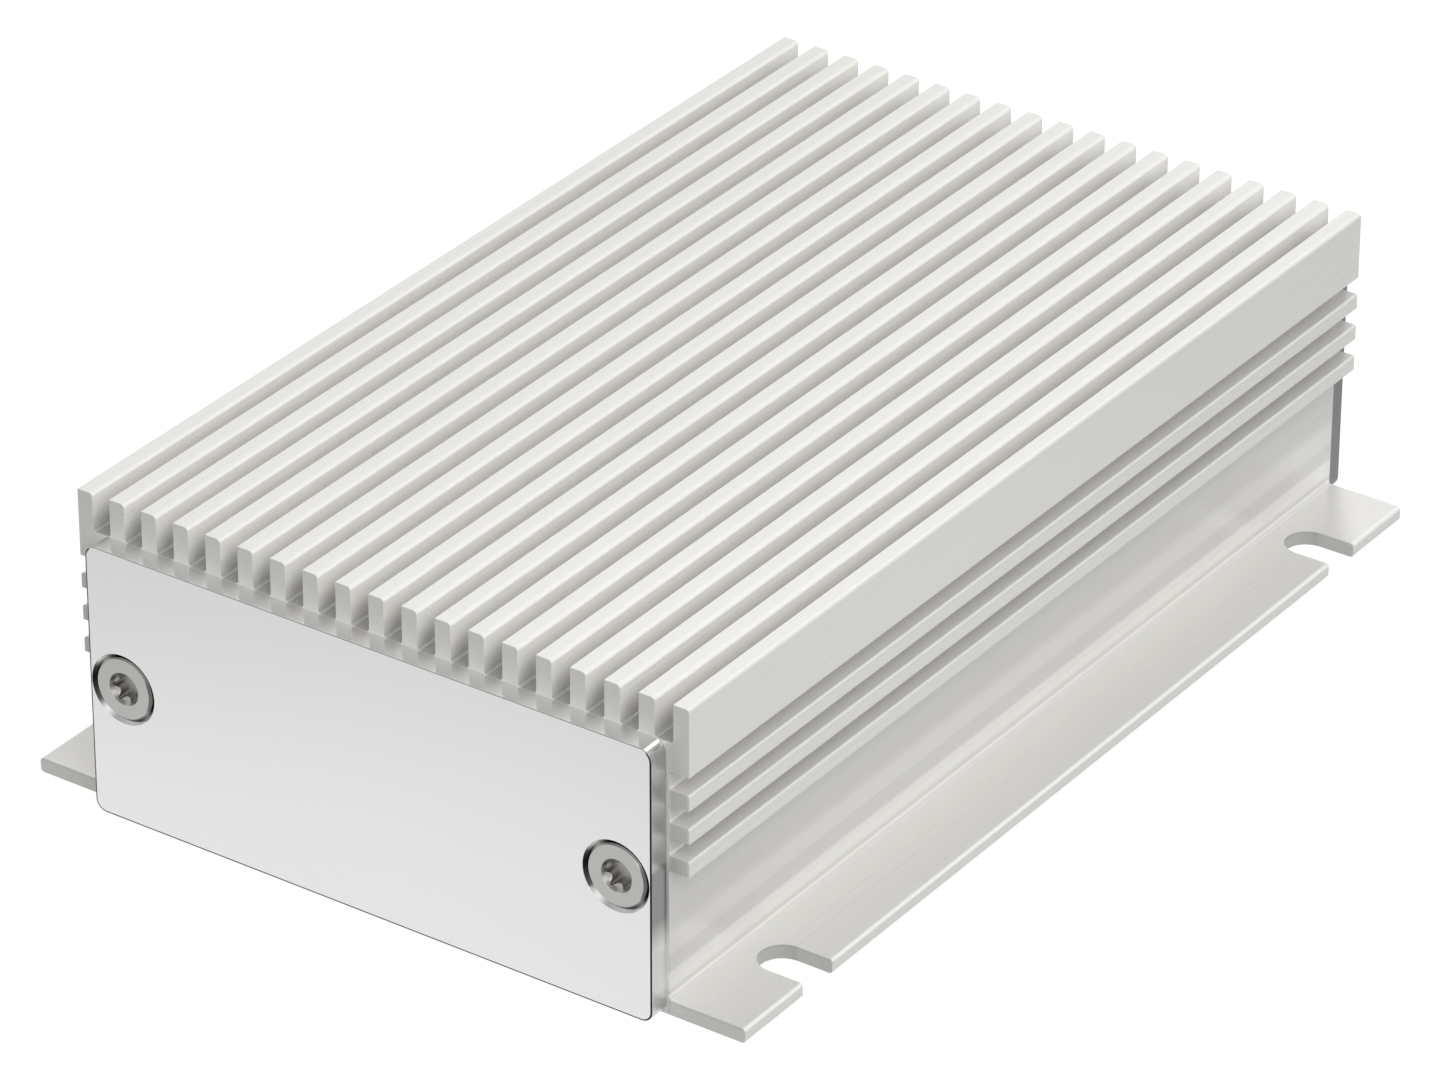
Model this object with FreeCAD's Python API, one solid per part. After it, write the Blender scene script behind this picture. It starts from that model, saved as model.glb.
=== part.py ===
"""Finned aluminium enclosure: one extruded profile closed by two screwed-on end plates.

Millimetres. X runs across the enclosure, Y along the extrusion and Z up. The origin lies on the
underside of the base, at the middle of the width and of the length.
"""
import FreeCAD, Part
import math
import os

from FreeCAD import Vector

# Tube of the profile
profile_length = 150.0
case_width = 84.0
side_wall = 2.0
base_wall = 2.0
deck_wall = 2.4
inner_height = 33.0
inner_corner_radius = 0.8

# Base flanges and the open slots in them
flange_reach = 10.8
flange_edge_radius = 0.5
flange_root_radius = 0.4
slot_width = 6.2
slot_from_wall = 2.7
slot_from_end = 15.0

# Fins on the deck
fin_count = 19
fin_thickness = 2.2
fin_height = 5.2
fin_overhang = 2.85
fin_tip_radius = 0.5
fin_root_radius = 0.5

# Corner blocks under the outermost fins, and the ribs below them
corner_block_height = 3.96
rib_count = 3
rib_thickness = 2.05
rib_pitch = 4.5
rib_edge_radius = 0.3
rib_root_radius = 0.3

# Guide rails for circuit boards, in pairs on each side wall
board_groove = 1.8
rail_thickness = 1.5
rail_depth = 2.0
rail_edge_radius = 0.3
board_from_screw_axis = 9.25

# End plates
plate_thickness = 3.0
plate_side_inset = 0.35
plate_base_inset = 0.05
plate_corner_radius = 1.6
plate_edge_chamfer = 0.1

# Countersunk screws, two in each plate, and the ports that hold them
screw_diameter = 4.0
screw_length = 14.0
screw_hole_clearance = 0.25
head_sharp_diameter = 9.4
head_rim_height = 0.45
head_edge_bevel = 0.25
head_sink = 0.1
countersink_from_plate_side = 0.3
screw_tip_chamfer = 0.6
port_wall = 1.2
port_mouth = 2.2
thread_clearance = 0.05

# Six-lobe recess in each screw head
recess_across_lobes = 3.94
recess_lobe_height = 0.56
recess_lobe_radius = 0.3
recess_depth = 1.7
recess_mouth_bevel = 0.28

# Sizes that follow from the ones above
inner_width = case_width - 2 * side_wall
base_width = case_width + 2 * flange_reach
width_over_fins = case_width + 2 * fin_overhang
deck_underside = base_wall + inner_height
channel_floor = deck_underside + deck_wall
overall_height = channel_floor + fin_height
fin_pitch = (width_over_fins - fin_thickness) / (fin_count - 1)
block_underside = channel_floor - corner_block_height
slot_radius = slot_width / 2
plate_width = case_width - 2 * plate_side_inset
plate_height = channel_floor - plate_base_inset
countersink_radius = head_sharp_diameter / 2 + head_sink
screw_x = plate_width / 2 - countersink_from_plate_side - countersink_radius
screw_z = plate_base_inset + plate_height / 2
port_bore_radius = screw_diameter / 2 + thread_clearance
port_radius = port_bore_radius + port_wall


def rounded_wire(corners, y):
    """Closed wire in the plane at y through (x, z, radius) corners, each rounded by its radius."""
    points = [Vector(x, y, z) for x, z, _ in corners]
    starts, middles, ends = [], [], []
    for number, (_, _, radius) in enumerate(corners):
        corner = points[number]
        before = points[number - 1] - corner
        after = points[(number + 1) % len(points)] - corner
        half_angle = before.getAngle(after) / 2
        tangent = min(radius / math.tan(half_angle), before.Length / 2, after.Length / 2)
        fitted = tangent * math.tan(half_angle)
        before.normalize()
        after.normalize()
        bisector = (before + after).normalize()
        starts.append(corner + before * tangent)
        ends.append(corner + after * tangent)
        middles.append(corner + bisector * (fitted / math.sin(half_angle) - fitted))
    edges = []
    for number in range(len(points)):
        previous_end = ends[number - 1]
        if previous_end.distanceToPoint(starts[number]) > 1e-6:
            edges.append(Part.makeLine(previous_end, starts[number]))
        if starts[number].distanceToPoint(ends[number]) > 1e-6:
            edges.append(Part.Arc(starts[number], middles[number], ends[number]).toShape())
    return Part.Wire(edges)


def extruded(corners, y, length):
    """Solid with the rounded section of corners, from y along +Y."""
    return Part.Face(rounded_wire(corners, y)).extrude(Vector(0, length, 0))


def mirrored(corners):
    """The same corners on the other side of the centre plane, in the opposite order."""
    return [(-x, z, radius) for x, z, radius in reversed(corners)]


def step_corners(inner_x, outer_x, underside, thickness, root_radius, lower_radius, upper_radius):
    """Corners of one rib, rail or boss, from its underside to its top."""
    top = underside + thickness
    return [
        (inner_x, underside, root_radius),
        (outer_x, underside, lower_radius),
        (outer_x, top, upper_radius),
        (inner_x, top, root_radius),
    ]


def side_corners():
    """Right-hand side of the profile, from the flange's underside up to the corner block.

    The ribs and the block have a sharp lower edge, and the ribs a round upper one.
    """
    wall_x = case_width / 2
    rib_x = width_over_fins / 2
    corners = [
        (base_width / 2, 0, flange_edge_radius),
        (base_width / 2, base_wall, flange_edge_radius),
        (wall_x, base_wall, flange_root_radius),
    ]
    for number in range(rib_count, 0, -1):
        underside = block_underside - number * rib_pitch
        corners += step_corners(
            wall_x, rib_x, underside, rib_thickness, rib_root_radius, 0, rib_edge_radius
        )
    corners.append((wall_x, block_underside, rib_root_radius))
    corners.append((rib_x, block_underside, 0))
    return corners


def fin_corners():
    """Finned top of the profile, from the right-hand outer face to the left-hand one.

    Each fin's tip is round on its right-hand edge and sharp on its left-hand one.
    """
    corners = []
    for number in range(fin_count):
        right = width_over_fins / 2 - number * fin_pitch
        left = right - fin_thickness
        if number > 0:
            corners.append((right, channel_floor, fin_root_radius))
        corners.append((right, overall_height, fin_tip_radius))
        corners.append((left, overall_height, 0))
        if number < fin_count - 1:
            corners.append((left, channel_floor, fin_root_radius))
    return corners


def rail_pair_corners(board_z):
    """Right-hand rails under and over a board groove whose middle is at board_z."""
    wall_x = inner_width / 2
    corners = []
    for underside in (board_z - board_groove / 2 - rail_thickness, board_z + board_groove / 2):
        corners += step_corners(
            wall_x, wall_x - rail_depth, underside, rail_thickness, 0, rail_edge_radius, rail_edge_radius
        )
    return corners


def cavity_corners():
    """Hollow of the profile, with its board rails and the bosses of its screw ports."""
    wall_x = inner_width / 2
    corners = [(wall_x, base_wall, inner_corner_radius)]
    corners += rail_pair_corners(screw_z - board_from_screw_axis)
    corners += step_corners(
        wall_x, screw_x - port_radius, screw_z - port_radius, 2 * port_radius, 0, port_radius, port_radius
    )
    corners += rail_pair_corners(screw_z + board_from_screw_axis)
    corners.append((wall_x, deck_underside, inner_corner_radius))
    return corners + mirrored(corners)


def port_bore(side):
    """Bore of one screw port, open to the hollow through a narrow mouth."""
    front = -profile_length / 2
    bore = Part.makeCylinder(
        port_bore_radius, profile_length, Vector(side * screw_x, front, screw_z), Vector(0, 1, 0)
    )
    mouth = Part.makeBox(port_radius, profile_length, port_mouth)
    mouth_x = min(side * screw_x, side * (screw_x - port_radius))
    mouth.translate(Vector(mouth_x, front, screw_z - port_mouth / 2))
    return bore.fuse(mouth)


def flange_slot(side, y):
    """Slot through a flange, round at its inner end and open at the flange's edge."""
    centre_x = side * (case_width / 2 + slot_from_wall + slot_radius)
    round_end = Part.makeCylinder(slot_radius, 2 * base_wall, Vector(centre_x, y, -base_wall / 2))
    straight = Part.makeBox(flange_reach, slot_width, 2 * base_wall)
    straight_x = min(centre_x, centre_x + side * flange_reach)
    straight.translate(Vector(straight_x, y - slot_radius, -base_wall / 2))
    return round_end.fuse(straight)


def housing_profile():
    """The extruded body: base and flanges, side walls with ribs, and the finned deck."""
    front = -profile_length / 2
    right_side = side_corners()
    outline = right_side + fin_corners() + mirrored(right_side)
    body = extruded(outline, front, profile_length)
    body = body.cut(extruded(cavity_corners(), front, profile_length))
    slot_y = profile_length / 2 - slot_from_end
    cuts = []
    for side in (-1, 1):
        cuts.append(port_bore(side))
        for end in (-1, 1):
            cuts.append(flange_slot(side, end * slot_y))
            # The cone only reaches the port where the plate is thinner than the head is high.
            cuts.append(placed_at_end(countersink_cone(side), end))
    return body.cut(cuts).removeSplitter()


def end_plate(end):
    """End plate on the profile's face at end -1 (front) or 1 (rear), with its countersunk holes."""
    half_width = plate_width / 2
    top = plate_base_inset + plate_height
    corners = [
        (half_width, plate_base_inset, plate_corner_radius),
        (half_width, top, plate_corner_radius),
        (-half_width, top, plate_corner_radius),
        (-half_width, plate_base_inset, plate_corner_radius),
    ]
    plate = extruded(corners, 0, plate_thickness)
    outer_face = min(plate.Faces, key=lambda face: face.CenterOfMass.y)
    plate = plate.makeChamfer(plate_edge_chamfer, outer_face.Edges)
    plate = plate.cut([countersunk_hole(side) for side in (-1, 1)])
    return placed_at_end(plate, end)


def countersink_cone(side):
    """Right-angled cone of a countersink in a plate whose outer face is at y = 0."""
    rim_centre = Vector(side * screw_x, 0, screw_z)
    return Part.makeCone(countersink_radius, 0, countersink_radius, rim_centre, Vector(0, 1, 0))


def countersunk_hole(side):
    """Hole for a screw in a plate whose outer face is at y = 0."""
    hole_radius = screw_diameter / 2 + screw_hole_clearance
    rim_centre = Vector(side * screw_x, 0, screw_z)
    hole = Part.makeCylinder(hole_radius, plate_thickness, rim_centre, Vector(0, 1, 0))
    return countersink_cone(side).fuse(hole)


def six_lobe_face():
    """Outline of the screw's recess: six lobes joined by six tangent flutes."""
    lobe_distance = recess_across_lobes / 2 - recess_lobe_radius
    flute_reach = recess_across_lobes / 2 - recess_lobe_height
    cosine = math.cos(math.radians(30))
    # The flute's radius makes its arc touch the lobes' arcs without a corner.
    flute_radius = (
        recess_lobe_radius**2 - lobe_distance**2 - flute_reach**2
        + 2 * lobe_distance * flute_reach * cosine
    ) / (2 * (flute_reach - lobe_distance * cosine - recess_lobe_radius))
    flute_distance = flute_reach + flute_radius
    share = recess_lobe_radius / (recess_lobe_radius + flute_radius)

    def polar(distance, degrees):
        angle = math.radians(degrees)
        return Vector(distance * math.cos(angle), 0, distance * math.sin(angle))

    def joint(lobe_angle, flute_angle):
        lobe_centre = polar(lobe_distance, lobe_angle)
        flute_centre = polar(flute_distance, flute_angle)
        return lobe_centre + (flute_centre - lobe_centre) * share

    edges = []
    for lobe_angle in range(0, 360, 60):
        lobe_start = joint(lobe_angle, lobe_angle - 30)
        lobe_end = joint(lobe_angle, lobe_angle + 30)
        flute_end = joint(lobe_angle + 60, lobe_angle + 30)
        lobe_tip = polar(recess_across_lobes / 2, lobe_angle)
        flute_bottom = polar(flute_reach, lobe_angle + 30)
        edges.append(Part.Arc(lobe_start, lobe_tip, lobe_end).toShape())
        edges.append(Part.Arc(lobe_end, flute_bottom, flute_end).toShape())
    return Part.Face(Part.Wire(edges))


def screw():
    """Countersunk screw along +Y, with the centre of its head's face at the origin."""
    radius = screw_diameter / 2
    head_radius = head_sharp_diameter / 2 - head_rim_height
    head_height = (head_sharp_diameter - screw_diameter) / 2
    outline = [
        Vector(0, 0, 0),
        Vector(head_radius - head_edge_bevel, 0, 0),
        Vector(head_radius, head_edge_bevel, 0),
        Vector(head_radius, head_rim_height, 0),
        Vector(radius, head_height, 0),
        Vector(radius, screw_length - screw_tip_chamfer, 0),
        Vector(radius - screw_tip_chamfer, screw_length, 0),
        Vector(0, screw_length, 0),
        Vector(0, 0, 0),
    ]
    body = Part.Face(Part.makePolygon(outline)).revolve(Vector(0, 0, 0), Vector(0, 1, 0), 360)
    recess = six_lobe_face().extrude(Vector(0, recess_depth, 0))
    # The bevel runs on inside the lobes, where there is nothing left to cut.
    mouth_radius = recess_across_lobes / 2 + recess_mouth_bevel
    mouth = Part.makeCone(mouth_radius, mouth_radius / 2, mouth_radius / 2, Vector(0, 0, 0), Vector(0, 1, 0))
    return body.cut([recess, mouth])


def placed_at_end(shape, end):
    """Move a shape made with its outer face at y = 0 to the front (-1) or the rear (1) end."""
    placed = shape.copy()
    placed.translate(Vector(0, -profile_length / 2 - plate_thickness, 0))
    if end > 0:
        placed.rotate(Vector(0, 0, 0), Vector(0, 0, 1), 180)
    return placed


def plate_screws():
    """The four identical screws, two at each end."""
    screws = []
    for end in (-1, 1):
        for side in (-1, 1):
            fitted = screw()
            fitted.translate(Vector(side * screw_x, head_sink, screw_z))
            screws.append(placed_at_end(fitted, end))
    return Part.makeCompound(screws)


def main():
    nodes = {
        "housing_profile": housing_profile(),
        "front_plate": end_plate(-1),
        "rear_plate": end_plate(1),
        "plate_screws": plate_screws(),
    }
    os.makedirs("parts", exist_ok=True)
    for name, shape in nodes.items():
        shape.exportStep(f"parts/{name}.step")
        print(name, "solids", len(shape.Solids), "valid", shape.isValid(), "mm3", round(shape.Volume, 1))


main()
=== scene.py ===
"""Finned aluminium enclosure on a white studio floor.

Metres and radians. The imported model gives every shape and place. This script gives the finishes,
the floor, the light and the camera.
"""
import math

import bpy
from mathutils import Euler, Matrix, Vector


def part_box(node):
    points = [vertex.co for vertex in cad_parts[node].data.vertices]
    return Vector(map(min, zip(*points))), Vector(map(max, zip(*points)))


# Camera at the photograph's viewing angle
camera_azimuth = math.radians(34.828)
camera_elevation = math.radians(29.909)
camera_roll = math.radians(0.095)
camera_aim = Vector((-0.00007, -0.00430, 0.01694))
camera_distance = 0.953
camera_lens_mm = 189.99
camera_sensor_mm = 36.0

# Studio floor and surroundings
white = (1.0, 1.0, 1.0, 1.0)
floor_size = 6.0
floor_colour = (0.25, 0.25, 0.25, 1.0)
floor_glow = 0.84
floor_mirrored_near = 1.05
floor_mirrored_far = 0.86
floor_far_edge = (0.08, 0.16)
fill_light = 0.45

# Square lamps: name, direction from the object, distance, side and watts
lamps = (
    ("key_lamp", (0.50, -0.27, 0.50), 1.2, 1.0, 6.2),
    ("side_lamp", (0.60, -0.10, 0.75), 1.2, 1.2, 2.2),
    ("left_lamp", (-0.70, 0.00, 0.70), 1.2, 0.8, 3.9),
    ("edge_lamp", (0.05, 0.71, 0.70), 1.25, 0.5, 0.75),
)

# Node editor's rows
nodes_in_row = 10
node_spacing = 240

# Fine lines and skin that the metals share
noise_middle = 0.5
line_detail = 4.0
line_harshness = 0.62
grain_detail = 2.0
cloud_detail = 3.0
grains_per_metre = 7000.0

# Satin silver anodising over lines from the extrusion die
anodised_colour = (0.815, 0.805, 0.775)
anodised_metallic = 0.14
anodised_roughness = 0.30
die_lines_per_metre = 2200.0
die_line_stretch = (1.0, 0.004, 1.0)
die_line_tone = 0.012
die_line_roughness = 0.12
anodised_clouds_per_metre = 22.0
anodised_cloud_tone = 0.05
anodised_grain_roughness = 0.10
anodised_relief = 0.0000011

# Every name that ends in edge is a soft edge: its mask is 0 at the first value and 1 at the second.
# Heights are above the underside. Other places on the profile are told from its side wall's
# outer face, from its sawn end, or from its flange's outer edge, and are negative short of them.

# Side walls, with soft lengthwise bands of painted reflection, painted highlight and painted shade that
# each have a lowest height, a highest height and a tone
wall_outside = 0.042
wall_edge = (0.0003, 0.0001)
foot_corner_painted_shade = (0.0020, 0.0022, 0.88)
foot_painted_highlight = (0.0024, 0.0026, 1.14)
foot_painted_shade = (0.0029, 0.0031, 0.88)
low_band = (0.0037, 0.0055, 1.10)
dim_band = (0.0061, 0.0078, 0.90)
middle_band = (0.0086, 0.0106, 1.01)
rib_painted_shade = (0.0122, 0.0168, 0.87)
upper_wall = (0.0210, 0.0330, 1.00)
wall_painted_bands = (
    foot_corner_painted_shade,
    foot_painted_highlight,
    foot_painted_shade,
    low_band,
    dim_band,
    middle_band,
    rib_painted_shade,
    upper_wall,
)

# Sawn ends, darker with painted shade
cut_end_painted_shade = 0.915
cut_end_edge = (-0.00006, -0.00002)

# Channels between the fins, with painted shade at each height, darker towards the floor, and a painted
# highlight along the fins' rounded tip edges
channel_painted_tones = (
    (0.0374, 0.70),
    (0.0390, 0.89),
    (0.0403, 1.08),
    (0.0419, 1.09),
    (0.0423, 1.18),
)
channel_bottom_edge = (0.03725, 0.03735)
channel_top_edge = (0.04255, 0.0424)
channel_side_edge = (0.0028, 0.0026)
channel_end_painted_shade = 0.74
near_floor_edge = (0.0380, 0.0375)
near_plate_edge = (-0.0070, -0.0010)

# Tips of the fins, with painted light a little lighter to the right
tip_edge = (0.0424, 0.04255)
tip_middle_painted_light = 0.995
tip_painted_light_per_metre = 0.9

# Tops of the ribs, with painted shade
rib_top_painted_shade = 0.87
lowest_rib_edge = (0.0198, 0.0200)
corner_block_edge = (0.0335, 0.0333)
rib_outer_edge = (0.00275, 0.0024)
rib_root_edge = (0.0001, 0.0003)

# Tops of the flanges, with painted shade, a painted reflection lighter near the rear end and a painted
# highlight along the outer edge
flange_painted_shade = 0.92
flange_root_edge = (0.00002, 0.00008)
flange_rim_edge = (0.0013, 0.0018)
flange_top_edge = (0.0024, 0.0021)
flange_rear_painted_reflection = 1.16
flange_rear_slant = 1.439
flange_rear_edge = (-0.0010, 0.0060)
flange_edge_painted_highlight = 1.18
flange_line_edge = (-0.00030, -0.00018)
flange_line_bottom_edge = (0.0015, 0.00165)

# Walls of the flanges' slots, with painted shade
slot_from_middle = 0.060
slot_arc_painted_shade = 0.66
slot_side_painted_shade = 0.80
slot_width_edge = (0.0033, 0.0032)
slot_top_edge = (0.00196, 0.00190)
slot_mouth_edge = (-0.00002, -0.00008)
slot_arc_edge = (0.0052, 0.0062)

# Bright rolled sheet of the end plates
sheet_colour = (0.747, 0.747, 0.747)
sheet_roughness = 0.11
rolled_lines_per_metre = 5000.0
rolled_line_stretch = (0.02, 1.0, 1.0)
rolled_line_tone = 0.03
rolled_line_roughness = 0.06
sheet_clouds_per_metre = 30.0
sheet_cloud_tone = 0.03
sheet_cloud_roughness = 0.05
sheet_relief = 0.0000006

# Narrow sides of the plates, with a painted reflection at each height on the front plate's upright
# sides, painted shade on the rear plate's upright sides and painted light on the tops and bottoms
flank_painted_reflection = (
    (0.0020, 0.85),
    (0.0040, 1.13),
    (0.0100, 1.00),
    (0.0137, 0.39),
    (0.0205, 0.37),
    (0.0215, 0.70),
)
flank_roughness = 0.38
rear_flank_painted_shade = 0.27
top_flank_painted_light = 1.05
rear_half_edge = (-0.01, 0.01)
upright_side_edge = (0.0006, 0.0002)
flank_edge = (0.00001, 0.00003)

# Painted dark reflection as a line round each plate's face, darkest at the right, thin and fainter
# along the top. Places on a plate are told inward from its outline, or from its top or its right side.
sheet_corner_radius = 0.0016
line_width = 0.00025
plate_edge_painted_reflection = 0.10
top_line_width = 0.00010
top_edge_painted_reflection = 0.35
top_line_edge = (-0.0006, -0.0003)
right_line_width = 0.00023
right_edge_painted_reflection = 0.02
right_line_edge = (-0.0010, -0.0006)
right_line_top_edge = (0.0003, 0.0)
face_edge = (0.0, 0.00002)

# Turned countersinks, with painted shade and painted glints. Glints lie round a screw's axis, each at a
# turn, with a reach and a tone.
# A full turn is 1.
half_turn = 0.5
countersink_radius = 0.0048
countersink_edge = (countersink_radius * 1.003, countersink_radius * 0.99)
countersink_painted_shade = 0.10
countersink_painted_glints = (
    (0.28, 0.22, 0.60),
    (0.99, 0.11, 0.01),
    (0.15, 0.06, 1.05),
    (0.39, 0.06, 0.95),
    (0.86, 0.08, 1.00),
)

# Plain steel of the screws
steel_colour = (0.46, 0.465, 0.44)
steel_roughness = 0.22
turned_lines_per_metre = 6000.0
turned_line_tone = 0.10
turned_line_roughness = 0.16
steel_clouds_per_metre = 300.0
steel_cloud_tone = 0.08
steel_relief = 0.000003

# Rims of the screw heads, with painted shade and painted glints, which start a little further in at the
# right
rim_start = 0.0040
rim_start_right = 0.00384
rim_right_edge = (0.80, 0.96)
rim_edge = (0.0, 0.00006)
rim_painted_shade = 0.31
rim_painted_glints = (
    (0.38, 0.07, 0.72),
    (0.68, 0.12, 0.52),
    (0.90, 0.11, 1.30),
)

# Six-lobe recesses, darkened with painted shade, with painted glints on the bevel round their mouths
recess_radius = 0.00222
recess_edge = (recess_radius * 1.01, recess_radius * 0.98)
recess_painted_shade = (0.37, 0.36, 0.345)
recess_roughness = 0.38
mouth_colour = (0.52, 0.505, 0.485)
mouth_depth_edge = (0.00035, 0.000525)
mouth_painted_shade = 0.33
mouth_painted_glints = (
    (0.08, 0.07, 0.90),
    (0.28, 0.06, 0.60),
    (0.48, 0.09, 1.50),
    (0.75, 0.15, 0.85),
    (0.92, 0.07, 0.12),
)


def put(tree, kind):
    """New node of a kind, laid out in rows in the node editor."""
    number = len(tree.nodes)
    node = tree.nodes.new(kind)
    node.location = (number % nodes_in_row * node_spacing, -(number // nodes_in_row) * node_spacing)
    return node


def feed(tree, value, socket):
    """Link another node's output to a socket, or write a plain value in it."""
    if isinstance(value, bpy.types.NodeSocket):
        tree.links.new(value, socket)
    else:
        socket.default_value = value


def maths(tree, operation, *values):
    """Result of one Math node on one to three values."""
    node = put(tree, "ShaderNodeMath")
    node.operation = operation
    for value, socket in zip(values, node.inputs):
        feed(tree, value, socket)
    return node.outputs["Value"]


def product(tree, *values):
    """Product of several masks or tones."""
    result = values[0]
    for value in values[1:]:
        result = maths(tree, "MULTIPLY", result, value)
    return result


def soft_mask(tree, value, edge):
    """Mask that goes softly from 0 at an edge's first value to 1 at its second."""
    node = put(tree, "ShaderNodeMapRange")
    node.interpolation_type = "SMOOTHSTEP"
    feed(tree, value, node.inputs["Value"])
    node.inputs["From Min"].default_value = edge[0]
    node.inputs["From Max"].default_value = edge[1]
    return node.outputs["Result"]


def mix_numbers(tree, mask, low, high):
    """Number that goes from low to high as the mask goes from 0 to 1."""
    node = put(tree, "ShaderNodeMix")
    feed(tree, mask, node.inputs["Factor"])
    feed(tree, low, node.inputs["A"])
    feed(tree, high, node.inputs["B"])
    return node.outputs["Result"]


def mix_colours(tree, mask, low, high):
    """Colour that goes from low to high as the mask goes from 0 to 1."""
    node = put(tree, "ShaderNodeMix")
    node.data_type = "RGBA"
    feed(tree, mask, node.inputs["Factor"])
    feed(tree, low, node.inputs["A"])
    feed(tree, high, node.inputs["B"])
    return node.outputs["Result"]


def toned_colour(tree, colour, tone):
    """Colour times a tone."""
    node = put(tree, "ShaderNodeVectorMath")
    node.operation = "SCALE"
    feed(tree, colour, node.inputs[0])
    feed(tree, tone, node.inputs["Scale"])
    return node.outputs["Vector"]


def scaled_vector(tree, vector, scale):
    """Vector stretched or squeezed along each axis by a Mapping node."""
    node = put(tree, "ShaderNodeMapping")
    node.inputs["Scale"].default_value = scale
    tree.links.new(vector, node.inputs["Vector"])
    return node.outputs["Vector"]


def split_place(tree, place):
    """Outputs X, Y and Z of a place."""
    split = put(tree, "ShaderNodeSeparateXYZ")
    tree.links.new(place, split.inputs["Vector"])
    return split.outputs


def tone_by_height(tree, height, heights_and_tones):
    """Tone read from a list of heights and tones."""
    lowest = heights_and_tones[0][0]
    span = heights_and_tones[-1][0] - lowest
    from_lowest = maths(tree, "SUBTRACT", height, lowest)
    share = maths(tree, "DIVIDE", from_lowest, span)
    ramp = put(tree, "ShaderNodeValToRGB")
    marks = ramp.color_ramp.elements
    marks[1].position = 1.0
    for mark_height, tone in heights_and_tones[1:-1]:
        marks.new((mark_height - lowest) / span)
    # The ramp holds half of each tone, so that its colours stay under 1.
    for mark, (mark_height, tone) in zip(marks, heights_and_tones):
        mark.color = (tone / 2, tone / 2, tone / 2, 1.0)
    tree.links.new(share, ramp.inputs["Fac"])
    return maths(tree, "MULTIPLY", ramp.outputs["Color"], 2.0)


def tone_of_bands(tree, height, bands):
    """Tone of bands that each have a lowest height, a highest height and a tone."""
    heights_and_tones = []
    for lowest, highest, tone in bands:
        heights_and_tones += [(lowest, tone), (highest, tone)]
    return tone_by_height(tree, height, heights_and_tones)


def tone_of_painted_glints(tree, turn, shade, glints):
    """Painted shade round a screw, with soft painted glints that each have a turn, a reach and a tone.
    """
    tone = shade
    for middle, reach, glint_tone in glints:
        past_middle = maths(tree, "SUBTRACT", turn, middle)
        past_middle = maths(tree, "WRAP", past_middle, half_turn, -half_turn)
        off_middle = maths(tree, "ABSOLUTE", past_middle)
        on_glint = soft_mask(tree, off_middle, (reach, 0.0))
        tone = mix_numbers(tree, on_glint, tone, glint_tone)
    return tone


def new_group(name, inputs, outputs):
    """Empty shader node group with named inputs and number outputs. An input of None is a vector."""
    group = bpy.data.node_groups.new(name, "ShaderNodeTree")
    for label, value in inputs.items():
        kind = "NodeSocketVector" if value is None else "NodeSocketFloat"
        socket = group.interface.new_socket(name=label, in_out="INPUT", socket_type=kind)
        if value is not None:
            socket.default_value = value
    for label in outputs:
        group.interface.new_socket(name=label, in_out="OUTPUT", socket_type="NodeSocketFloat")
    source = put(group, "NodeGroupInput")
    result = put(group, "NodeGroupOutput")
    return group, source.outputs, result.inputs


def use_group(tree, group, values):
    """Outputs of a placed group whose inputs get the given values."""
    node = put(tree, "ShaderNodeGroup")
    node.node_tree = group
    for label, value in values.items():
        feed(tree, value, node.inputs[label])
    return node.outputs


def build_fine_lines():
    """Fine lines as a die, a mill or a lathe leaves them, across the given vector, around 0."""
    group, source, result = new_group(
        "fine_lines", {"Vector": None, "Lines per metre": die_lines_per_metre}, ["Lines"]
    )
    noise = put(group, "ShaderNodeTexNoise")
    noise.inputs["Detail"].default_value = line_detail
    noise.inputs["Roughness"].default_value = line_harshness
    group.links.new(source["Vector"], noise.inputs["Vector"])
    group.links.new(source["Lines per metre"], noise.inputs["Scale"])
    group.links.new(maths(group, "SUBTRACT", noise.outputs["Fac"], noise_middle), result["Lines"])
    return group


def build_metal_skin():
    """Fine even grain and slow cloudy unevenness, both around 0."""
    inputs = {
        "Vector": None,
        "Grains per metre": grains_per_metre,
        "Clouds per metre": anodised_clouds_per_metre,
    }
    group, source, result = new_group("metal_skin", inputs, ["Grain", "Cloud"])
    patterns = (
        ("Grain", "Grains per metre", grain_detail),
        ("Cloud", "Clouds per metre", cloud_detail),
    )
    for label, rate, detail in patterns:
        noise = put(group, "ShaderNodeTexNoise")
        noise.inputs["Detail"].default_value = detail
        group.links.new(source["Vector"], noise.inputs["Vector"])
        group.links.new(source[rate], noise.inputs["Scale"])
        group.links.new(maths(group, "SUBTRACT", noise.outputs["Fac"], noise_middle), result[label])
    return group


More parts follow.
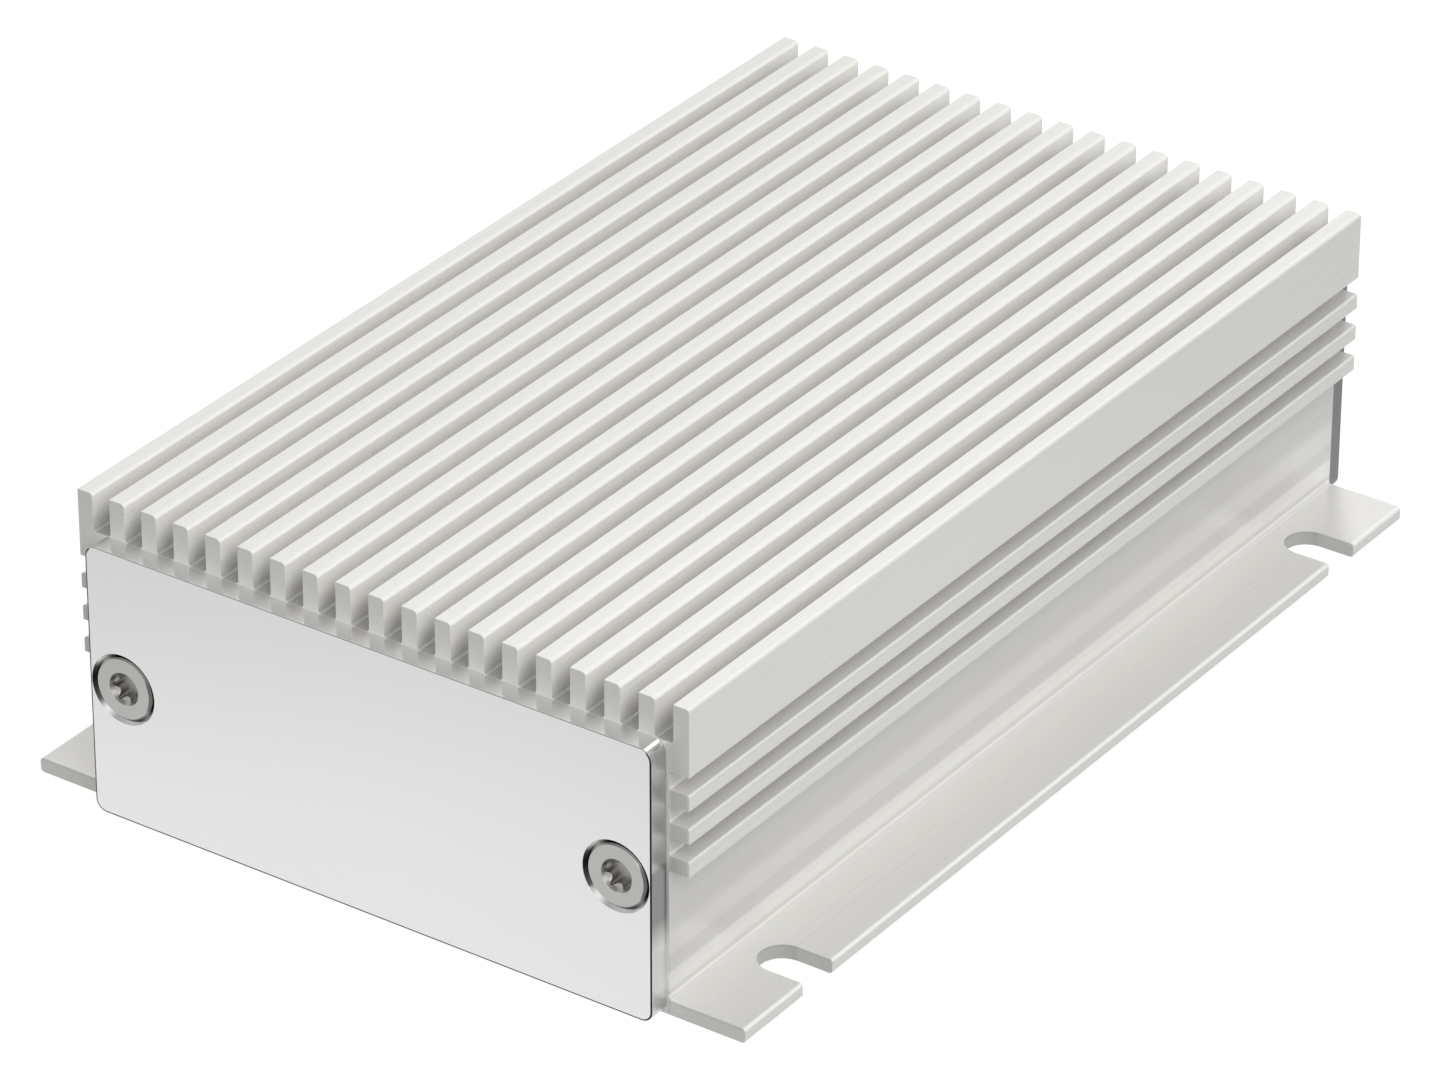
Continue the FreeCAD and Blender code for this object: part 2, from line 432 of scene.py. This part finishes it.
def build_screw_place():
    """Distance from the nearest screw axis, how far right it lies, and the turn about the axis.

    The four screws are at one height, alike on the left and right and at both ends. The turn
    goes from 0 at the left, over 0.25 below and 0.5 at the right, to 1 at the left again.
    """
    group, source, result = new_group(
        "screw_place", {"Vector": None, "Axis X": 0.0, "Axis Z": 0.0}, ["Radius", "Right", "Turn"]
    )
    place = split_place(group, source["Vector"])
    from_middle = maths(group, "ABSOLUTE", place["X"])
    out = maths(group, "SUBTRACT", from_middle, source["Axis X"])
    up = maths(group, "SUBTRACT", place["Z"], source["Axis Z"])
    up_square = maths(group, "MULTIPLY", up, up)
    square = maths(group, "MULTIPLY_ADD", out, out, up_square)
    radius = maths(group, "SQRT", square)
    to_right = maths(group, "MULTIPLY", out, maths(group, "SIGN", place["X"]))
    angle = maths(group, "ARCTAN2", up, to_right)
    turn = maths(group, "MULTIPLY_ADD", angle, half_turn / math.pi, half_turn)
    group.links.new(radius, result["Radius"])
    group.links.new(maths(group, "DIVIDE", to_right, radius), result["Right"])
    group.links.new(turn, result["Turn"])
    return group


def build_sheet_outline():
    """Distance inward from the outline of an end plate, and from its nearer upright side.

    The outline is a rectangle with round corners.
    """
    inputs = {
        "Vector": None,
        "Half width": 0.0,
        "Half height": 0.0,
        "Middle Z": 0.0,
        "Corner radius": 0.0,
    }
    group, source, result = new_group("sheet_outline", inputs, ["Inward", "From side"])
    place = split_place(group, source["Vector"])
    across = maths(group, "ABSOLUTE", place["X"])
    from_middle = maths(group, "SUBTRACT", place["Z"], source["Middle Z"])
    up = maths(group, "ABSOLUTE", from_middle)
    side_run = maths(group, "SUBTRACT", source["Half width"], source["Corner radius"])
    high_run = maths(group, "SUBTRACT", source["Half height"], source["Corner radius"])
    past_side = maths(group, "SUBTRACT", across, side_run)
    past_top = maths(group, "SUBTRACT", up, high_run)
    corner_x = maths(group, "MAXIMUM", past_side, 0.0)
    corner_z = maths(group, "MAXIMUM", past_top, 0.0)
    corner_z_square = maths(group, "MULTIPLY", corner_z, corner_z)
    square = maths(group, "MULTIPLY_ADD", corner_x, corner_x, corner_z_square)
    round_part = maths(group, "SQRT", square)
    larger = maths(group, "MAXIMUM", past_side, past_top)
    flat_part = maths(group, "MINIMUM", larger, 0.0)
    past_radius = maths(group, "ADD", round_part, flat_part)
    group.links.new(maths(group, "SUBTRACT", source["Corner radius"], past_radius), result["Inward"])
    group.links.new(maths(group, "SUBTRACT", source["Half width"], across), result["From side"])
    return group


def new_finish(name, metallic):
    """Material with a Principled shader joined to its output, and its object coordinates."""
    material = bpy.data.materials.new(name)
    material.use_nodes = True
    tree = material.node_tree
    tree.nodes.clear()
    output = put(tree, "ShaderNodeOutputMaterial")
    shader = put(tree, "ShaderNodeBsdfPrincipled")
    shader.inputs["Metallic"].default_value = metallic
    tree.links.new(shader.outputs["BSDF"], output.inputs["Surface"])
    place = put(tree, "ShaderNodeTexCoord")
    return material, tree, shader, place.outputs["Object"]


def add_relief(tree, shader, height, depth):
    """Very shallow relief from a height that changes over the surface."""
    bump = put(tree, "ShaderNodeBump")
    bump.inputs["Distance"].default_value = depth
    tree.links.new(height, bump.inputs["Height"])
    tree.links.new(bump.outputs["Normal"], shader.inputs["Normal"])


def profile_places(tree, place, profile_high):
    """Named places on the profile by which its zones are told apart."""
    parts = split_place(tree, place)
    across = maths(tree, "ABSOLUTE", parts["X"])
    along = maths(tree, "ABSOLUTE", parts["Y"])
    return {
        "rightward": parts["X"],
        "height": parts["Z"],
        "along": along,
        "from wall": maths(tree, "SUBTRACT", across, wall_outside),
        "from edge": maths(tree, "SUBTRACT", across, profile_high.x),
        "from end": maths(tree, "SUBTRACT", along, profile_high.y),
        "from rear end": maths(tree, "SUBTRACT", parts["Y"], profile_high.y),
    }


def paint_wall_bands(tree, places):
    """Soft bands of painted reflection, painted highlight and painted shade along the side walls."""
    off_wall = maths(tree, "ABSOLUTE", places["from wall"])
    painted_band_tone = tone_of_bands(tree, places["height"], wall_painted_bands)
    return mix_numbers(tree, soft_mask(tree, off_wall, wall_edge), 1.0, painted_band_tone)


def paint_channel_shade(tree, places, at_cut_end):
    """Painted shade in the channels between the fins, darker towards their floors and there also behind
    the plates, with a painted highlight near the tips.
    """
    height = places["height"]
    painted_depth_tone = tone_by_height(tree, height, channel_painted_tones)
    near_floor = soft_mask(tree, height, near_floor_edge)
    near_plate = soft_mask(tree, places["from end"], near_plate_edge)
    painted_end_shade = product(tree, painted_depth_tone, channel_end_painted_shade)
    painted_depth_tone = mix_numbers(tree, product(tree, near_floor, near_plate), painted_depth_tone, painted_end_shade)
    over_floor = soft_mask(tree, height, channel_bottom_edge)
    below_tip = soft_mask(tree, height, channel_top_edge)
    between_sides = soft_mask(tree, places["from wall"], channel_side_edge)
    off_cut_end = maths(tree, "SUBTRACT", 1.0, at_cut_end)
    in_channel = product(tree, between_sides, over_floor, off_cut_end, below_tip)
    return mix_numbers(tree, in_channel, 1.0, painted_depth_tone)


def paint_tip_light(tree, places):
    """Painted light on the tips of the fins, a little lighter from left to right."""
    slant = maths(tree, "MULTIPLY_ADD", places["rightward"], tip_painted_light_per_metre, tip_middle_painted_light)
    return mix_numbers(tree, soft_mask(tree, places["height"], tip_edge), 1.0, slant)


def paint_rib_top_shade(tree, places):
    """Painted shade on the tops of the ribs, under what is over them."""
    over_lowest = soft_mask(tree, places["height"], lowest_rib_edge)
    under_block = soft_mask(tree, places["height"], corner_block_edge)
    off_outside = soft_mask(tree, places["from wall"], rib_outer_edge)
    off_root = soft_mask(tree, places["from wall"], rib_root_edge)
    on_rib = product(tree, over_lowest, under_block, off_outside, off_root)
    return mix_numbers(tree, on_rib, 1.0, rib_top_painted_shade)


def paint_flange_light(tree, places):
    """Painted shade on the tops of the flanges, with a painted reflection lighter near the rear end and
    a painted highlight along the outer edge.
    """
    height = places["height"]
    out = places["from wall"]
    rearward = maths(tree, "MULTIPLY_ADD", out, flange_rear_slant, places["from rear end"])
    at_rear = soft_mask(tree, rearward, flange_rear_edge)
    tone = mix_numbers(tree, at_rear, flange_painted_shade, flange_rear_painted_reflection)
    near_edge = soft_mask(tree, places["from edge"], flange_line_edge)
    over_side = soft_mask(tree, height, flange_line_bottom_edge)
    tone = mix_numbers(tree, product(tree, near_edge, over_side), tone, flange_edge_painted_highlight)
    off_wall = soft_mask(tree, out, flange_root_edge)
    near_top = soft_mask(tree, height, flange_rim_edge)
    under_wall = soft_mask(tree, height, flange_top_edge)
    return mix_numbers(tree, product(tree, off_wall, near_top, under_wall), 1.0, tone)


def paint_slot_shade(tree, places):
    """Painted shade on the walls of the flanges' slots, darkest in the round end."""
    off_slot = maths(tree, "SUBTRACT", places["along"], slot_from_middle)
    off_slot = maths(tree, "ABSOLUTE", off_slot)
    in_width = soft_mask(tree, off_slot, slot_width_edge)
    under_top = soft_mask(tree, places["height"], slot_top_edge)
    off_mouth = soft_mask(tree, places["from edge"], slot_mouth_edge)
    past_arc = soft_mask(tree, places["from wall"], slot_arc_edge)
    painted_slot_shade = mix_numbers(tree, past_arc, slot_arc_painted_shade, slot_side_painted_shade)
    return mix_numbers(tree, product(tree, in_width, under_top, off_mouth), 1.0, painted_slot_shade)


def anodised_finish(groups, profile_high):
    """Satin silver anodising over lengthwise die lines, with painted shade, painted reflections and
    painted highlights for each zone of the profile.
    """
    material, tree, shader, place = new_finish("anodised_aluminium", anodised_metallic)
    places = profile_places(tree, place, profile_high)
    lengthwise = scaled_vector(tree, place, die_line_stretch)
    lines = use_group(
        tree, groups["fine_lines"], {"Vector": lengthwise, "Lines per metre": die_lines_per_metre}
    )["Lines"]
    skin = use_group(tree, groups["metal_skin"], {"Vector": place})
    line_part = maths(tree, "MULTIPLY_ADD", lines, die_line_tone, 1.0)
    cloud_part = maths(tree, "MULTIPLY_ADD", skin["Cloud"], anodised_cloud_tone, 1.0)
    at_cut_end = soft_mask(tree, places["from end"], cut_end_edge)
    # Painted shade, painted reflections and painted highlights for each zone, over the die lines and
    # clouds
    tone = product(
        tree,
        line_part,
        cloud_part,
        paint_wall_bands(tree, places),
        mix_numbers(tree, at_cut_end, 1.0, cut_end_painted_shade),
        paint_channel_shade(tree, places, at_cut_end),
        paint_tip_light(tree, places),
        paint_rib_top_shade(tree, places),
        paint_flange_light(tree, places),
        paint_slot_shade(tree, places),
    )
    tree.links.new(toned_colour(tree, anodised_colour, tone), shader.inputs["Base Color"])
    rough = maths(tree, "MULTIPLY_ADD", lines, die_line_roughness, anodised_roughness)
    rough = maths(tree, "MULTIPLY_ADD", skin["Grain"], anodised_grain_roughness, rough)
    tree.links.new(rough, shader.inputs["Roughness"])
    add_relief(tree, shader, maths(tree, "ADD", lines, skin["Grain"]), anodised_relief)
    return material


def paint_flank_light(tree, parts, at_upright_side):
    """Narrow sides of the plates: painted light on the top and bottom, a painted reflection on the
    front plate's upright sides and painted shade on the rear plate's.
    """
    front_painted_reflection = tone_by_height(tree, parts["Z"], flank_painted_reflection)
    at_rear = soft_mask(tree, parts["Y"], rear_half_edge)
    upright_painted_tone = mix_numbers(tree, at_rear, front_painted_reflection, rear_flank_painted_shade)
    return mix_numbers(tree, at_upright_side, top_flank_painted_light, upright_painted_tone)


def paint_face_line(tree, parts, plate_high):
    """Tone and width of the painted dark reflection round a plate's face."""
    from_top = maths(tree, "SUBTRACT", parts["Z"], plate_high.z)
    at_top = soft_mask(tree, from_top, top_line_edge)
    from_right = maths(tree, "SUBTRACT", parts["X"], plate_high.x)
    from_corner = maths(tree, "ADD", from_top, sheet_corner_radius)
    along_right = soft_mask(tree, from_right, right_line_edge)
    under_corner = soft_mask(tree, from_corner, right_line_top_edge)
    on_right = product(tree, along_right, under_corner)
    tone = mix_numbers(tree, at_top, plate_edge_painted_reflection, top_edge_painted_reflection)
    tone = mix_numbers(tree, on_right, tone, right_edge_painted_reflection)
    width = mix_numbers(tree, at_top, line_width, top_line_width)
    width = mix_numbers(tree, on_right, width, right_line_width)
    return tone, width


def sheet_finish(groups, plate, screw_axis):
    """Bright rolled sheet with a painted dark reflection round its face, painted light and shade on its
    narrow sides, and turned countersinks with painted shade and painted glints.
    """
    material, tree, shader, place = new_finish("bright_aluminium", 1.0)
    low, high = plate
    parts = split_place(tree, place)
    rolled = scaled_vector(tree, place, rolled_line_stretch)
    lines = use_group(
        tree, groups["fine_lines"], {"Vector": rolled, "Lines per metre": rolled_lines_per_metre}
    )["Lines"]
    skin = use_group(
        tree, groups["metal_skin"], {"Vector": place, "Clouds per metre": sheet_clouds_per_metre}
    )
    near_screw = use_group(
        tree, groups["screw_place"], {"Vector": place, "Axis X": screw_axis[0], "Axis Z": screw_axis[1]}
    )
    outline = use_group(
        tree,
        groups["sheet_outline"],
        {
            "Vector": place,
            "Half width": high.x,
            "Half height": (high.z - low.z) / 2,
            "Middle Z": (high.z + low.z) / 2,
            "Corner radius": sheet_corner_radius,
        },
    )

    # From the narrow sides over the painted dark line to the bright face
    at_upright_side = soft_mask(tree, outline["From side"], upright_side_edge)
    past_flank = soft_mask(tree, outline["Inward"], flank_edge)
    line_painted_tone, width_here = paint_face_line(tree, parts, high)
    tone = mix_numbers(tree, past_flank, paint_flank_light(tree, parts, at_upright_side), line_painted_tone)
    past_line = maths(tree, "SUBTRACT", outline["Inward"], width_here)
    tone = mix_numbers(tree, soft_mask(tree, past_line, face_edge), tone, 1.0)

    # Painted shade and painted glints on the turned countersinks, darkest at the left
    cone_painted_tone = tone_of_painted_glints(tree, near_screw["Turn"], countersink_painted_shade, countersink_painted_glints)
    tone = mix_numbers(tree, soft_mask(tree, near_screw["Radius"], countersink_edge), tone, cone_painted_tone)

    cloud_part = maths(tree, "MULTIPLY_ADD", skin["Cloud"], sheet_cloud_tone, 1.0)
    rolled_part = maths(tree, "MULTIPLY_ADD", lines, rolled_line_tone, cloud_part)
    tone = product(tree, tone, rolled_part)
    tree.links.new(toned_colour(tree, sheet_colour, tone), shader.inputs["Base Color"])
    on_flank = maths(tree, "SUBTRACT", at_upright_side, past_flank)
    rough = mix_numbers(tree, on_flank, sheet_roughness, flank_roughness)
    rough = maths(tree, "MULTIPLY_ADD", lines, rolled_line_roughness, rough)
    rough = maths(tree, "MULTIPLY_ADD", skin["Cloud"], sheet_cloud_roughness, rough)
    tree.links.new(rough, shader.inputs["Roughness"])
    add_relief(tree, shader, lines, sheet_relief)
    return material


def paint_rim_light(tree, near_screw):
    """Painted shade on the rims of the screw heads, with a few painted glints."""
    at_right = soft_mask(tree, near_screw["Right"], rim_right_edge)
    start = mix_numbers(tree, at_right, rim_start, rim_start_right)
    past_start = maths(tree, "SUBTRACT", near_screw["Radius"], start)
    rim_painted_tone = tone_of_painted_glints(tree, near_screw["Turn"], rim_painted_shade, rim_painted_glints)
    return mix_numbers(tree, soft_mask(tree, past_start, rim_edge), 1.0, rim_painted_tone)


def paint_recess_shade(tree, near_screw, place, face_y):
    """Painted shade in the recess, with painted glints on the bevel round its mouth."""
    from_middle = maths(tree, "ABSOLUTE", split_place(tree, place)["Y"])
    depth = maths(tree, "SUBTRACT", face_y, from_middle)
    past_mouth = soft_mask(tree, depth, mouth_depth_edge)
    mouth_painted_tone = tone_of_painted_glints(tree, near_screw["Turn"], mouth_painted_shade, mouth_painted_glints)
    mouth = toned_colour(tree, mouth_colour, mouth_painted_tone)
    return mix_colours(tree, past_mouth, mouth, recess_painted_shade + (1.0,))


def steel_finish(groups, screw_axis, face_y):
    """Turned steel heads with painted shade on the rim and in the recess, and painted glints."""
    material, tree, shader, place = new_finish("screw_steel", 1.0)
    near_screw = use_group(
        tree, groups["screw_place"], {"Vector": place, "Axis X": screw_axis[0], "Axis Z": screw_axis[1]}
    )
    ring_place = put(tree, "ShaderNodeCombineXYZ")
    tree.links.new(near_screw["Radius"], ring_place.inputs["X"])
    rings = use_group(
        tree,
        groups["fine_lines"],
        {"Vector": ring_place.outputs["Vector"], "Lines per metre": turned_lines_per_metre},
    )["Lines"]
    skin = use_group(
        tree, groups["metal_skin"], {"Vector": place, "Clouds per metre": steel_clouds_per_metre}
    )
    ring_part = maths(tree, "MULTIPLY_ADD", rings, turned_line_tone, 1.0)
    ring_part = maths(tree, "MULTIPLY_ADD", skin["Cloud"], steel_cloud_tone, ring_part)
    # Painted shade and painted glints on the rims, and painted shade in the recesses
    outside = toned_colour(tree, steel_colour, product(tree, paint_rim_light(tree, near_screw), ring_part))
    inside = toned_colour(tree, paint_recess_shade(tree, near_screw, place, face_y), ring_part)
    in_recess = soft_mask(tree, near_screw["Radius"], recess_edge)
    tree.links.new(mix_colours(tree, in_recess, outside, inside), shader.inputs["Base Color"])
    rough = mix_numbers(tree, in_recess, steel_roughness, recess_roughness)
    rough = maths(tree, "MULTIPLY_ADD", rings, turned_line_roughness, rough)
    tree.links.new(rough, shader.inputs["Roughness"])
    add_relief(tree, shader, rings, steel_relief)
    return material


def give_finish(node, material):
    """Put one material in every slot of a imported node."""
    for slot in node.material_slots:
        slot.material = material


def metal_rays(tree, path):
    """1 for rays that metal and glass send out: glossy and transmission rays."""
    return maths(tree, "MAXIMUM", path["Is Glossy Ray"], path["Is Transmission Ray"])


def mirrored_floor(tree):
    """Light that metal sees from the floor: white, a little brighter near the object."""
    place = put(tree, "ShaderNodeTexCoord")
    distance = put(tree, "ShaderNodeVectorMath")
    distance.operation = "LENGTH"
    tree.links.new(place.outputs["Object"], distance.inputs[0])
    far = soft_mask(tree, distance.outputs["Value"], floor_far_edge)
    mirrored = put(tree, "ShaderNodeEmission")
    mirrored.inputs["Color"].default_value = white
    tree.links.new(
        mix_numbers(tree, far, floor_mirrored_near, floor_mirrored_far), mirrored.inputs["Strength"]
    )
    return mirrored.outputs["Emission"]


def floor_finish():
    """Pale floor that the camera sees as white and that keeps the object's shadow."""
    material = bpy.data.materials.new("floor_white")
    material.use_nodes = True
    tree = material.node_tree
    tree.nodes.clear()
    output = put(tree, "ShaderNodeOutputMaterial")
    path = put(tree, "ShaderNodeLightPath").outputs
    diffuse = put(tree, "ShaderNodeBsdfDiffuse")
    diffuse.inputs["Color"].default_value = floor_colour
    glow = put(tree, "ShaderNodeEmission")
    glow.inputs["Color"].default_value = white
    tree.links.new(product(tree, path["Is Camera Ray"], floor_glow), glow.inputs["Strength"])
    lit = put(tree, "ShaderNodeAddShader")
    tree.links.new(diffuse.outputs["BSDF"], lit.inputs[0])
    tree.links.new(glow.outputs["Emission"], lit.inputs[1])
    choice = put(tree, "ShaderNodeMixShader")
    tree.links.new(metal_rays(tree, path), choice.inputs["Fac"])
    tree.links.new(lit.outputs["Shader"], choice.inputs[1])
    tree.links.new(mirrored_floor(tree), choice.inputs[2])
    tree.links.new(choice.outputs["Shader"], output.inputs["Surface"])
    return material


def build_floor():
    """Floor under the object."""
    bpy.ops.object.select_all(action="DESELECT")
    bpy.ops.mesh.primitive_plane_add(size=floor_size, location=(0, 0, 0))
    floor = bpy.context.object
    floor.name = "floor"
    floor.data.materials.append(floor_finish())


def build_world():
    """White surroundings that light the object softly."""
    world = bpy.data.worlds.new("studio")
    bpy.context.scene.world = world
    world.use_nodes = True
    tree = world.node_tree
    background = tree.nodes["Background"]
    background.inputs["Color"].default_value = white
    path = put(tree, "ShaderNodeLightPath").outputs
    seen = maths(tree, "MAXIMUM", path["Is Camera Ray"], metal_rays(tree, path))
    tree.links.new(mix_numbers(tree, seen, fill_light, 1.0), background.inputs["Strength"])


def build_lamp(name, direction, distance, side, watts):
    """Square soft lamp that faces the object from a direction."""
    data = bpy.data.lights.new(name, "AREA")
    data.shape = "SQUARE"
    data.size = side
    data.energy = watts
    lamp = bpy.data.objects.new(name, data)
    away = Vector(direction).normalized()
    lamp.location = away * distance
    lamp.rotation_euler = away.to_track_quat("Z", "Y").to_euler()
    bpy.context.collection.objects.link(lamp)


def build_camera():
    """Camera that sees the object as the photograph does."""
    turn = Euler((math.pi / 2 - camera_elevation, 0, camera_azimuth)).to_matrix()
    turn = turn @ Matrix.Rotation(camera_roll, 3, "Z")
    data = bpy.data.cameras.new("camera")
    data.lens = camera_lens_mm
    data.sensor_width = camera_sensor_mm
    camera = bpy.data.objects.new("camera", data)
    camera.rotation_euler = turn.to_euler()
    camera.location = camera_aim + turn @ Vector((0, 0, camera_distance))
    bpy.context.collection.objects.link(camera)
    bpy.context.scene.camera = camera


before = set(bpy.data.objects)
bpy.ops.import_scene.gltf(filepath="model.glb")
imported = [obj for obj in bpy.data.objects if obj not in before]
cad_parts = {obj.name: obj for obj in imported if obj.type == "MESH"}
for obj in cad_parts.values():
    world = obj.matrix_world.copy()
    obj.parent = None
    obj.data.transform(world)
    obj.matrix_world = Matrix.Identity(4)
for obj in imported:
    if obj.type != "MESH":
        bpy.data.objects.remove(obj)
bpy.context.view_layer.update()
bpy.context.scene.view_settings.view_transform = "Standard"

# Places that the finishes need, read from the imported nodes
profile_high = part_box("housing_profile")[1]
screw_low, screw_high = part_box("plate_screws")
head_radius = (screw_high.z - screw_low.z) / 2
screw_axis = (screw_high.x - head_radius, (screw_high.z + screw_low.z) / 2)

groups = {
    "fine_lines": build_fine_lines(),
    "metal_skin": build_metal_skin(),
    "screw_place": build_screw_place(),
    "sheet_outline": build_sheet_outline(),
}
give_finish(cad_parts["housing_profile"], anodised_finish(groups, profile_high))
sheet = sheet_finish(groups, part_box("front_plate"), screw_axis)
give_finish(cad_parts["front_plate"], sheet)
give_finish(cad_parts["rear_plate"], sheet)
give_finish(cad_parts["plate_screws"], steel_finish(groups, screw_axis, screw_high.y))

build_floor()
build_world()
for name, direction, distance, side, watts in lamps:
    build_lamp(name, direction, distance, side, watts)
build_camera()
